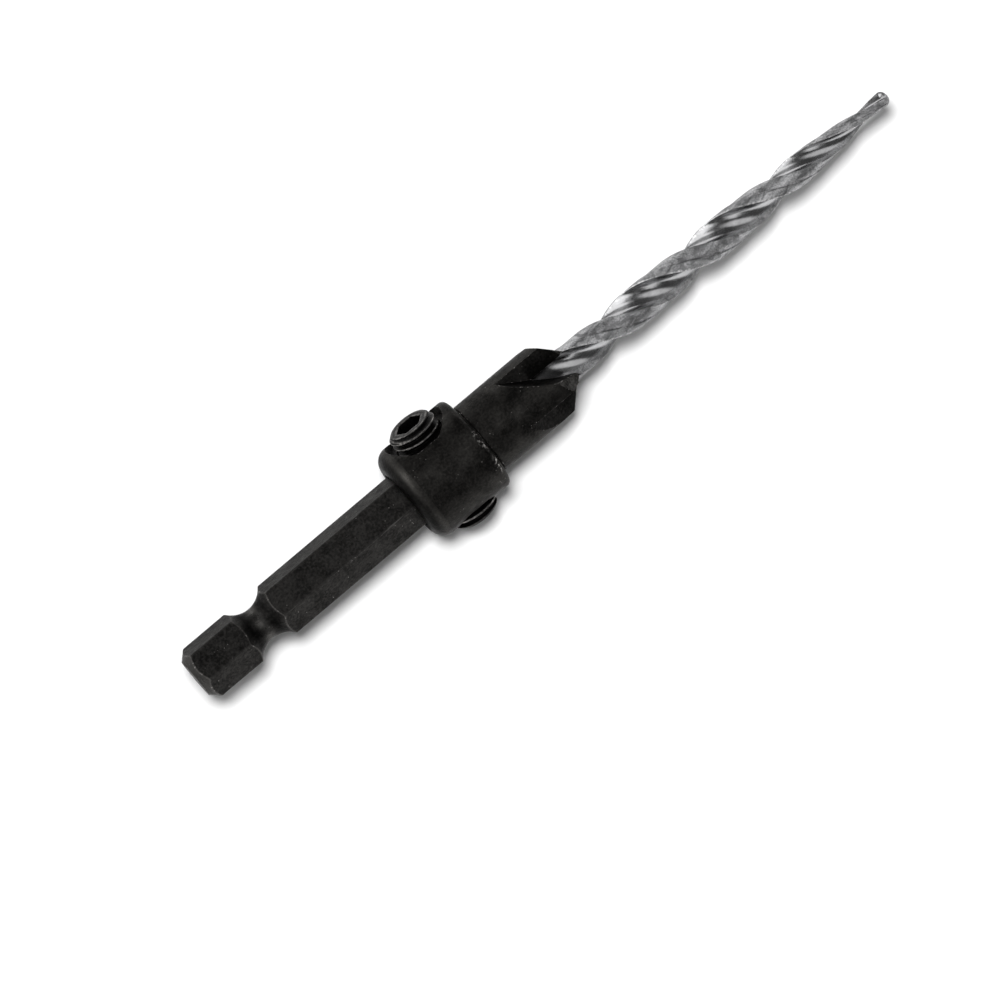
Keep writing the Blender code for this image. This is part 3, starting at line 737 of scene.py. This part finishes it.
def screw_ends(angles):
    """Rings (height, radii) of the screw's cup point, and of its top face and hexagon socket."""
    even = 0.0 * angles
    cup_radius = SCREW_CUP_DIAMETER / 2.0
    cup = [
        (SCREW_CUP_DEPTH * 0.5, even + cup_radius * 0.5),
        (0.0, even + cup_radius - SCREW_END_GAP),
    ]
    apothem = SOCKET_ACROSS_FLATS / 2.0
    hexagon = apothem / np.cos(turn_from_flat(angles, SOCKET_FLAT_ANGLE))
    floor = SCREW_LENGTH - SOCKET_DEPTH
    lip = 0.10 * MM
    socket = [
        (SCREW_LENGTH, even + SCREW_TOP_RADIUS - 0.03 * MM),
        (SCREW_LENGTH, (SCREW_TOP_RADIUS + hexagon + lip) / 2.0),
        (SCREW_LENGTH, hexagon + lip),
        (SCREW_LENGTH - 0.3 * lip, hexagon + 0.3 * lip),
        (SCREW_LENGTH - lip, hexagon),
        (floor + lip, hexagon),
        (floor, hexagon - 0.3 * lip),
        (floor, np.minimum(hexagon, 0.92 * apothem)),
        (floor - 0.5 * SOCKET_CONE_DEPTH, even + 0.92 * apothem),
    ]
    return cup, socket


def make_set_screw(name, direction):
    """Cup-point set screw with its cut thread and hexagon socket, along one direction from the axis."""
    angles = six_sided_angles(26, SOCKET_FLAT_ANGLE, 0.6)
    cup, socket = screw_ends(angles)
    side_heights, side_radii, side_wear, side_shade = screw_side(angles)
    cup_heights, cup_radii = zip(*cup)
    socket_heights, socket_radii = zip(*socket)
    heights = np.concatenate([cup_heights, side_heights, socket_heights])
    radii = np.concatenate([*cup_radii, side_radii, *socket_radii])
    wear, painted_shade = np.zeros_like(radii), np.zeros_like(radii)
    start, end = len(cup), len(cup) + len(side_radii)
    wear[start:end] = side_wear
    wear[end - 1:end + 1] = SCREW_EDGE_WEAR
    wear[end + 2:end + 4] = SOCKET_LIP_WEAR
    # Painted shade down the threads and inside the socket
    painted_shade[start:end] = side_shade
    painted_shade[end + 4:] = SOCKET_SHADE

    sideways = direction.cross(ALONG)
    centre = axis_point(SCREW_STATION) + direction * BORE_RADIUS
    rings = (np.array(centre)
             + heights[:, None, None] * np.array(direction)
             + (radii * np.sin(angles))[..., None] * np.array(ALONG)
             + (radii * np.cos(angles))[..., None] * np.array(sideways))
    cup_floor = centre + direction * SCREW_CUP_DEPTH
    socket_floor = centre + direction * (SCREW_LENGTH - SOCKET_DEPTH - SOCKET_CONE_DEPTH)
    return loft(name, rings, cup_floor, socket_floor, {"wear": wear, "painted_shade": painted_shade})


# Twist drill

def flute_arc():
    """Middle distance and radius of a flute's arc as shares of the drill's radius, and its heel's angle."""
    reach = (1.0 - WEB_SHARE ** 2) / (2.0 * (cos(FLUTE_HALF_ANGLE) - WEB_SHARE))
    bend = reach - WEB_SHARE
    square = CLEARED_SHARE ** 2 + reach ** 2 - bend ** 2
    heel_angle = -atan2(sqrt(4.0 * (CLEARED_SHARE * reach) ** 2 - square ** 2), square)
    return reach, bend, heel_angle


def land_points(heel):
    """Points (angle, radius) over a land: its margin, the step behind it, and on almost to its heel."""
    margin_steps, step_steps, land_steps = 8, 5, 14
    margin_end = FLUTE_HALF_ANGLE + MARGIN_ANGLE
    step_end = margin_end + MARGIN_STEP_ANGLE
    points = [(FLUTE_HALF_ANGLE + MARGIN_ANGLE * step / margin_steps, 1.0)
              for step in range(1, margin_steps + 1)]
    for step in range(1, step_steps):
        share = step / step_steps
        points.append((margin_end + MARGIN_STEP_ANGLE * share, 1.0 - LAND_CLEARANCE_SHARE * eased(share)))
    return points + [(step_end + (heel - step_end) * step / land_steps, CLEARED_SHARE)
                     for step in range(land_steps)]


def drill_section():
    """Half of the drill's section as shares of its radius, with a matching half circle and its marks.

    It runs from the heel of one land through a flute, which is centred on +X, and over the next land
    from its cutting edge to just before its heel. The marks say how much a point has of the land's ground
    finish, and its place across: 0 to 1 through the flute and 1 to 2 over the land.
    """
    flute_steps = 30
    reach, bend, heel_angle = flute_arc()
    swings = [atan2(radius * sin(angle), reach - radius * cos(angle))
              for radius, angle in ((CLEARED_SHARE, heel_angle), (1.0, FLUTE_HALF_ANGLE))]
    rows = []
    for step in range(flute_steps + 1):
        share = step / flute_steps
        swing = swings[0] + (swings[1] - swings[0]) * share
        around = heel_angle + (FLUTE_HALF_ANGLE - heel_angle) * share
        cut = (reach - bend * cos(swing), bend * sin(swing))
        land_mark = min(max(2.0 - share / HEEL_GROUND_SHARE, 0.0), 1.0)
        rows.append((*cut, cos(around), sin(around), land_mark, share))
    heel = pi + heel_angle
    for around, radius in land_points(heel):
        across = 1.0 + (around - FLUTE_HALF_ANGLE) / (heel - FLUTE_HALF_ANGLE)
        cut = (radius * cos(around), radius * sin(around))
        rows.append((*cut, cos(around), sin(around), 1.0, across))
    table = np.array(rows)
    return table[:, :2], table[:, 2:4], table[:, 4], table[:, 5]


def drill_radius(stations):
    """Outer radius of the drill's body: parallel, then a bulged taper, a thin pilot and a round point."""
    body = (DRILL_SHANK_DIAMETER - DRILL_BODY_UNDERSIZE) / 2.0
    pilot = DRILL_PILOT_DIAMETER / 2.0
    taper_end = POINT_STATION - DRILL_PILOT_LENGTH
    share = np.clip((stations - taper_end + DRILL_TAPER_LENGTH) / DRILL_TAPER_LENGTH, 0.0, 1.0)
    radii = pilot + (body - pilot) * (1.0 - share ** DRILL_TAPER_POWER)
    rounding = np.clip((stations - POINT_STATION) / DRILL_POINT_LENGTH, 0.0, 1.0)
    return radii * np.sqrt(1.0 - rounding ** 2)


def drill_stations():
    """Stations of the drill's rings: its plain shank, its flutes and its round point."""
    rear = DRILL_REAR_STATION
    plain_shank = [rear, rear + DRILL_END_CHAMFER, (rear + FLUTE_STATION) / 2.0]
    fluted = np.linspace(FLUTE_STATION, POINT_STATION, 390, endpoint=False)
    swing = np.linspace(0.0, pi / 2.0, 22, endpoint=False)
    return np.concatenate([plain_shank, fluted, POINT_STATION + DRILL_POINT_LENGTH * np.sin(swing)])


def twisted_rings(section, stations, radii):
    """Rings of the drill: both halves of its section at each station, turned along the helix."""
    along_helix = np.maximum(stations, FLUTE_STATION) - (TOOL_LENGTH - DRILL_PHASE_FROM_POINT)
    twist = DRILL_FLUTE_PHASE - 2.0 * pi * along_helix / DRILL_LEAD
    halves = []
    for turn in (0.0, pi):
        around = (twist + turn)[:, None]
        x, y = section[..., 0] * radii[:, None], section[..., 1] * radii[:, None]
        sideways = x * np.sin(around) + y * np.cos(around)
        upwards = x * np.cos(around) - y * np.sin(around)
        lengthways = REAR_X + stations[:, None] + 0.0 * x
        halves.append(np.stack([lengthways, sideways, AXIS_Z + upwards], axis=-1))
    return np.concatenate(halves, axis=1)


def make_drill_bit():
    """Twist drill, ring by ring, with a plain round shank behind its flutes."""
    stations = drill_stations()
    runout = np.clip((stations - FLUTE_STATION) / DRILL_RUNOUT_LENGTH, 0.0, 1.0)
    cut_in = np.sqrt(runout * (2.0 - runout))
    past = np.clip((stations - POINT_STATION) / DRILL_POINT_LENGTH, 0.0, 1.0)
    depth = cut_in * (1.0 + (DRILL_POINT_FLUTE_SHARE - 1.0) * past)
    shank_radius = DRILL_SHANK_DIAMETER / 2.0
    radii = shank_radius + (drill_radius(stations) - shank_radius) * cut_in
    radii[0] = shank_radius - DRILL_END_CHAMFER

    cut, plain, land_mark, across = drill_section()
    rings = twisted_rings(plain[None] + (cut - plain)[None] * depth[:, None, None], stations, radii)
    depth = depth[:, None]
    edge = np.clip(1.0 - np.abs(across - 1.0) * CUTTING_EDGE_FADE, 0.0, 1.0)
    # Painted shade: a dark line along the step behind each margin
    step_place = 1.0 + (MARGIN_ANGLE + MARGIN_STEP_ANGLE / 2.0) / (pi - 2.0 * FLUTE_HALF_ANGLE)
    step_line = np.clip(MARGIN_STEP_LEVEL - np.abs(across - step_place) * MARGIN_STEP_FADE, 0.0, 1.0)
    marks = {
        "land": np.tile(land_mark, 2) * depth + (1.0 - depth),
        "wear": np.tile(edge, 2) * depth,
        "painted_shade": np.tile(MARGIN_STEP_SHADE * step_line, 2) * depth,
    }
    start, end = axis_point(DRILL_REAR_STATION), axis_point(TOOL_LENGTH)
    return loft("drill_bit_fine", rings, start, end, marks)


# Materials

class Nodes:
    """Short ways to add nodes to a node tree."""

    def __init__(self, tree):
        self.tree = tree

    def node(self, kind, inputs=None, **settings):
        """Add a node, set its options and feed some of its inputs."""
        made = self.tree.nodes.new(kind)
        for name, value in settings.items():
            setattr(made, name, value)
        for name, value in (inputs or {}).items():
            self.feed(made.inputs[name], value)
        return made

    def feed(self, socket, value):
        """Set an input to a number or a tone, or join an output to it."""
        if isinstance(value, tuple):
            socket.default_value = (*value, 1.0)
        elif isinstance(value, float):
            socket.default_value = value
        else:
            self.tree.links.new(value, socket)

    def position(self, squeeze=EVEN):
        """Object coordinates in metres, with the pattern squeezed along each axis."""
        mapping = self.node("ShaderNodeMapping")
        mapping.inputs["Scale"].default_value = squeeze
        self.feed(mapping.inputs["Vector"], self.node("ShaderNodeTexCoord").outputs["Object"])
        return mapping.outputs["Vector"]

    def noise(self, vector, size, detail, roughness=0.55, swirl=0.0):
        """Noise whose features are about size metres across, drawn out into curls by swirl."""
        inputs = {"Vector": vector, "Scale": 1.0 / size, "Detail": detail}
        inputs |= {"Roughness": roughness, "Distortion": swirl}
        return self.node("ShaderNodeTexNoise", inputs).outputs["Fac"]

    def spots(self, vector, size, radius):
        """1 in small round spots, one to each cell about size metres across."""
        made = self.node("ShaderNodeTexVoronoi", {"Vector": vector, "Scale": 1.0 / size})
        return self.span(made.outputs["Distance"], radius, 0.4 * radius)

    def span(self, value, low, high, start=0.0, end=1.0, kind="LINEAR"):
        """Map value from low..high to start..end, clamped."""
        inputs = {"Value": value, "From Min": low, "From Max": high, "To Min": start, "To Max": end}
        return self.node("ShaderNodeMapRange", inputs, interpolation_type=kind).outputs["Result"]

    def maths(self, operation, a, b):
        """One maths node on two values, each a socket or a number."""
        made = self.node("ShaderNodeMath", operation=operation)
        self.feed(made.inputs[0], a)
        self.feed(made.inputs[1], b)
        return made.outputs["Value"]

    def blend(self, share, first, second):
        """Mix two colours, each a socket or a tone."""
        made = self.node("ShaderNodeMix", data_type="RGBA")
        colours = [socket for socket in made.inputs if socket.type == "RGBA"]
        self.feed(made.inputs["Factor"], share)
        self.feed(colours[0], first)
        self.feed(colours[1], second)
        return [socket for socket in made.outputs if socket.type == "RGBA"][0]

    def attribute(self, name):
        """A mark that the mesh carries, 0 where it has none."""
        return self.node("ShaderNodeAttribute", attribute_name=name).outputs["Fac"]

    def bump(self, height, distance, under=None):
        """Relief of one height in metres, on top of the relief under it."""
        made = self.node("ShaderNodeBump", {"Height": height, "Distance": distance})
        if under is not None:
            self.feed(made.inputs["Normal"], under)
        return made.outputs["Normal"]


class Paint(Nodes):
    """A new material with its nodes."""

    def __init__(self, name):
        self.material = bpy.data.materials.new(name)
        self.material.use_nodes = True
        super().__init__(self.material.node_tree)
        self.shader = self.tree.nodes["Principled BSDF"]

    def give(self, name, value):
        """Set one input of the shader to a number, a tone or an output."""
        self.feed(self.shader.inputs[name], value)


def shade(tone, factor):
    """A tone made lighter or darker."""
    return tuple(channel * factor for channel in tone)


def oxide_colour(paint, tone, mottle, clouds, grain, bare):
    """Cloudy, grainy black, lightened by a painted highlight where polished, darkened by painted shade, and
    metal where it is bare.
    """
    colour = paint.blend(paint.span(clouds, 0.36, 0.64), shade(tone, 0.5), shade(tone, 1.4))
    colour = paint.blend(paint.span(grain, 0.46, 0.70, 0.0, mottle), colour, shade(tone, 3.0))
    colour = paint.blend(paint.span(grain, 0.46, 0.34, 0.0, mottle), colour, shade(tone, 0.2))
    # Painted highlight: polished places lightened towards a brighter tone
    colour = paint.blend(paint.attribute("polish_and_highlight"), colour, shade(tone, OXIDE_HIGHLIGHT_GAIN))
    colour = paint.blend(bare, colour, BARE_OXIDE_TONE)
    # Painted shade: darkening wherever the mesh's mark puts shade
    return paint.blend(paint.attribute("painted_shade"), colour, PAINTED_SHADE_TONE)


def bare_share(paint, rub, wear_span, wear_squeeze, steady_wear):
    """How bare the steel is: patches where it is rubbed, and a few round specks anywhere."""
    place = paint.position()
    patches = paint.noise(paint.position(wear_squeeze), OXIDE_WEAR_SIZE, 3.0)
    patches = paint.maths("MAXIMUM", paint.span(patches, *wear_span), steady_wear)
    speck_patches = paint.span(paint.noise(place, OXIDE_SPECK_PATCH_SIZE, 1.0), 0.54, 0.64)
    specks = paint.maths("MULTIPLY", paint.spots(place, OXIDE_SPECK_SPACING, 0.13), speck_patches)
    worn = paint.maths("MULTIPLY", rub, patches)
    return paint.maths("MAXIMUM", worn, paint.maths("MULTIPLY", specks, OXIDE_SPECK_SHARE))


def black_oxide(name, tone, lines, roughness, wear_span=(0.5, 0.6), wear=None, mottle=0.5,
                wear_squeeze=EVEN, steady_wear=0.0):
    """Blackened steel: cloudy colour, fine pits, tool lines, and bare metal where it is rubbed.

    How rubbed it is comes from the mesh, or is the same all over where wear is given.
    """
    paint = Paint(name)
    place = paint.position()
    clouds = paint.noise(place, OXIDE_CLOUD_SIZE, 4.0)
    grain = paint.noise(place, OXIDE_GRAIN_SIZE, 4.0, 0.6)
    rub = paint.attribute("wear") if wear is None else wear
    bare = bare_share(paint, rub, wear_span, wear_squeeze, steady_wear)
    colour = oxide_colour(paint, tone, mottle, clouds, grain, bare)
    paint.give("Base Color", colour)
    paint.give("Metallic", paint.span(bare, 0.0, 1.0, OXIDE_METAL_SHARE))
    paint.give("Specular Tint", OXIDE_SHEEN)
    below, above = OXIDE_ROUGH_SPREAD
    rough = paint.noise(place, OXIDE_ROUGH_SIZE, 3.0)
    rough = paint.span(rough, 0.3, 0.7, roughness - below, roughness + above)
    smoothed = paint.maths("MULTIPLY", paint.attribute("polish_and_highlight"), OXIDE_POLISH_SMOOTHING)
    paint.give("Roughness", paint.maths("SUBTRACT", rough, smoothed))
    pits = paint.bump(paint.span(grain, 0.3, 0.7), OXIDE_PIT_DEPTH)
    tool_lines = paint.noise(paint.position(lines), OXIDE_LINE_SIZE, 2.0)
    tool_lines = paint.bump(tool_lines, OXIDE_LINE_DEPTH, pits)
    paint.give("Normal", paint.bump(clouds, OXIDE_WAVE_DEPTH, tool_lines))
    return paint.material


def shank_oxide():
    """Drawn bar, with lines along it and wear in streaks."""
    return black_oxide("shank_oxide", SHANK_TONE, DRAWN_LINES, roughness=0.38, wear_span=(0.54, 0.74),
                       mottle=0.45, wear_squeeze=DRAWN_WEAR, steady_wear=0.1)


def cutter_oxide():
    """Turned sides of the collar and cutter."""
    return black_oxide("cutter_oxide", CUTTER_TONE, TURNED_LINES, roughness=0.40,
                       wear_span=(0.52, 0.60), mottle=0.35)


def edge_oxide():
    """Bevelled edges of the collar and cutter, rubbed bare in places."""
    return black_oxide("cutter_edges", CUTTER_TONE, TURNED_LINES, roughness=0.42,
                       wear_span=(0.56, 0.64), wear=0.9)


def notch_shaded_oxide():
    """Inside of the notches and screw seats, unworn, in a darker tone that is painted shade."""
    return black_oxide("cutter_notches_shaded", NOTCH_SHADE_TONE, TURNED_LINES, roughness=0.36, wear=0.0)


def relief_oxide():
    """Ground relief flats, lighter than the turned sides."""
    return black_oxide("cutter_relief", RELIEF_TONE, TURNED_LINES, roughness=0.44, wear=0.0)


def screw_oxide():
    """Smooth black screws, with brighter thread crests."""
    return black_oxide("screw_oxide", SCREW_TONE, EVEN, roughness=0.30, wear_span=(0.35, 0.75),
                       steady_wear=0.2)


def steel_colour(paint, place, land, clouds, grain):
    """Bright flutes, grey lands with curled grinding smears, a chipped edge, and painted shade along the
    margin step.
    """
    flute = paint.blend(paint.span(clouds, 0.35, 0.66), *FLUTE_TONES)
    ground = paint.blend(paint.span(grain, 0.38, 0.64), *LAND_TONES)
    curls = paint.noise(paint.position(GROUND_CURLS), STEEL_CURL_SIZE, 2.0, 0.5, 1.6)
    ground = paint.blend(paint.span(curls, 0.47, 0.62, 0.0, 0.75), ground, CURL_TONES[0])
    ground = paint.blend(paint.span(curls, 0.44, 0.34, 0.0, 0.30), ground, CURL_TONES[1])
    colour = paint.blend(land, flute, ground)
    nicks = paint.span(paint.noise(place, STEEL_NICK_SIZE, 2.0), 0.50, 0.60)
    colour = paint.blend(paint.maths("MULTIPLY", paint.attribute("wear"), nicks), colour, CHIPPED_TONE)
    # Painted shade along the margin step, in patches
    shade_level = paint.span(paint.noise(place, STEEL_SHADE_PATCH_SIZE, 3.0), 0.38, 0.56, 0.25, 1.0)
    colour = paint.blend(paint.maths("MULTIPLY", paint.attribute("painted_shade"), shade_level), colour, DRILL_SHADE_TONE)
    specks = paint.maths("MULTIPLY", paint.spots(place, STEEL_SPECK_SPACING, 0.09), STEEL_SPECK_SHARE)
    return paint.blend(specks, colour, DRILL_SPECK_TONE)


def drill_steel():
    """Bright ground steel: polished flutes, grained lands and a chipped cutting edge."""
    paint = Paint("bright_ground_steel")
    place = paint.position()
    land = paint.attribute("land")
    clouds = paint.noise(place, STEEL_CLOUD_SIZE, 4.0)
    grain = paint.noise(place, STEEL_GRAIN_SIZE, 4.0, 0.65)
    paint.give("Base Color", steel_colour(paint, place, land, clouds, grain))
    paint.give("Metallic", paint.span(land, 0.0, 1.0, 1.0, LAND_METAL_SHARE))
    paint.give("Specular Tint", STEEL_SHEEN)
    flute_rough = paint.span(clouds, 0.3, 0.7, 0.16, 0.24)
    land_rough = paint.span(grain, 0.3, 0.7, 0.28, 0.42)
    flute_rough = paint.maths("MULTIPLY", flute_rough, paint.maths("SUBTRACT", 1.0, land))
    land_rough = paint.maths("MULTIPLY", land_rough, land)
    paint.give("Roughness", paint.maths("ADD", flute_rough, land_rough))
    grinding = paint.noise(paint.position(GROUND_LINES), STEEL_LINE_SIZE, 2.0)
    grinding = paint.bump(grinding, STEEL_LINE_DEPTH)
    pits = paint.maths("MULTIPLY", grain, land)
    paint.give("Normal", paint.bump(pits, STEEL_PIT_DEPTH, grinding))
    return paint.material


def floor_paint():
    """Matt white that glows faintly to the camera and to metal, and still takes a shadow."""
    paint = Paint("studio_white")
    paint.give("Base Color", FLOOR_TONE)
    paint.give("Roughness", 1.0)
    paint.give("Specular IOR Level", 0.0)
    paint.give("Emission Color", (1.0, 1.0, 1.0))
    rays = paint.node("ShaderNodeLightPath")
    seen = paint.maths("MAXIMUM", rays.outputs["Is Camera Ray"], rays.outputs["Is Glossy Ray"])
    paint.give("Emission Strength", paint.maths("MULTIPLY", seen, FLOOR_GLOW))
    return paint.material


# The object

def finish_piece(piece, node, materials):
    """Give a piece its materials, hang it on the root body and hide the CAD part it stands for."""
    for material in materials:
        piece.data.materials.append(material)
    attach(piece, "root")
    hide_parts(node)


def build_object():
    """The five pieces of the tool."""
    cutter_materials = [cutter_oxide(), edge_oxide(), notch_shaded_oxide(), relief_oxide()]
    finish_piece(make_hex_shank(), "hex_shank", [shank_oxide()])
    finish_piece(make_cutter_body(), "cutter_body", cutter_materials)
    finish_piece(make_drill_bit(), "drill_bit", [drill_steel()])
    screw_material = screw_oxide()
    for name, angle in (("set_screw_upper", SCREW_ANGLE), ("set_screw_lower", SCREW_ANGLE + pi)):
        piece = make_set_screw(name + "_fine", outward(angle))
        finish_piece(piece, name, [screw_material])


# The studio

def make_camera():
    """Camera that looks at the tool from the photograph's angle."""
    back = Vector((-sin(CAMERA_LEAN), 0.0, cos(CAMERA_LEAN)))
    along = Vector((cos(CAMERA_LEAN), 0.0, sin(CAMERA_LEAN)))
    across = Vector((0.0, 1.0, 0.0))
    run = PHOTO_TIP_PIXEL[0] - PHOTO_REAR_PIXEL[0]
    rise = PHOTO_REAR_PIXEL[1] - PHOTO_TIP_PIXEL[1]
    slope = atan2(rise, run)
    right = along * cos(slope) - across * sin(slope)
    up = along * sin(slope) + across * cos(slope)
    pixel = TOOL_LENGTH * cos(CAMERA_LEAN) / sqrt(run ** 2 + rise ** 2)
    x, y = ((tip + rear - PHOTO_SIZE) / 2.0 for tip, rear in zip(PHOTO_TIP_PIXEL, PHOTO_REAR_PIXEL))
    target = axis_point(TOOL_LENGTH / 2.0) - right * (x * pixel) + up * (y * pixel)
    lens = bpy.data.cameras.new("camera")
    lens.lens = lens.sensor_width * CAMERA_DISTANCE / (PHOTO_SIZE * pixel)
    camera = add_object("camera", lens)
    place = Matrix((right, up, back)).transposed().to_4x4()
    place.translation = target + back * CAMERA_DISTANCE
    camera.matrix_world = place
    bpy.context.scene.camera = camera


def make_floor():
    """Wide pale floor that the tool lies on."""
    lowest = min(corner[2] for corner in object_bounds())
    corners = ((-1.0, -1.0), (1.0, -1.0), (1.0, 1.0), (-1.0, 1.0))
    mesh = bpy.data.meshes.new("floor")
    mesh.from_pydata([(x * FLOOR_REACH, y * FLOOR_REACH, lowest) for x, y in corners], [], [(0, 1, 2, 3)])
    mesh.materials.append(floor_paint())
    floor = add_object("floor", mesh)
    floor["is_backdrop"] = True


def make_key_lamp():
    """Soft square lamp above the tool, a little to its left, not mirrored in the metal."""
    data = bpy.data.lights.new("key", "AREA")
    data.size = KEY_SIZE
    data.energy = KEY_WATTS
    lamp = add_object("key", data)
    lamp.location = Vector(KEY_DIRECTION).normalized() * KEY_DISTANCE
    lamp.rotation_euler = Vector(KEY_DIRECTION).to_track_quat("Z", "Y").to_euler()
    lamp.visible_glossy = False


def make_world():
    """Dim room with a bright horizon and soft panels, weaker on matt surfaces for a deeper shadow."""
    world = bpy.data.worlds.new("studio")
    bpy.context.scene.world = world
    world.use_nodes = True
    sky = Nodes(world.node_tree)
    direction = sky.node("ShaderNodeTexCoord").outputs["Generated"]
    height = sky.node("ShaderNodeSeparateXYZ", {"Vector": direction}).outputs["Z"]
    light = sky.span(height, HORIZON_TOP, HORIZON_FADE, 1.0, ROOM_LEVEL, "SMOOTHSTEP")
    for *angles, level in PANELS:
        azimuth, elevation, core, edge = (radians(angle) for angle in angles)
        facing = sky.node("ShaderNodeVectorMath", operation="DOT_PRODUCT")
        sideways = cos(elevation)
        towards = (sideways * cos(azimuth), sideways * sin(azimuth), sin(elevation))
        facing.inputs[1].default_value = towards
        sky.feed(facing.inputs[0], direction)
        panel = sky.span(facing.outputs["Value"], cos(edge), cos(core), 0.0, level, "SMOOTHSTEP")
        light = sky.maths("MAXIMUM", light, panel)
    matt = sky.node("ShaderNodeLightPath").outputs["Is Diffuse Ray"]
    light = sky.maths("MULTIPLY", light, sky.span(matt, 0.0, 1.0, 1.0, MATT_SHARE))
    sky.feed(sky.tree.nodes["Background"].inputs["Color"], light)


bpy.context.scene.view_settings.view_transform = "Standard"
build_object()
make_camera()
make_floor()
make_world()
make_key_lamp()
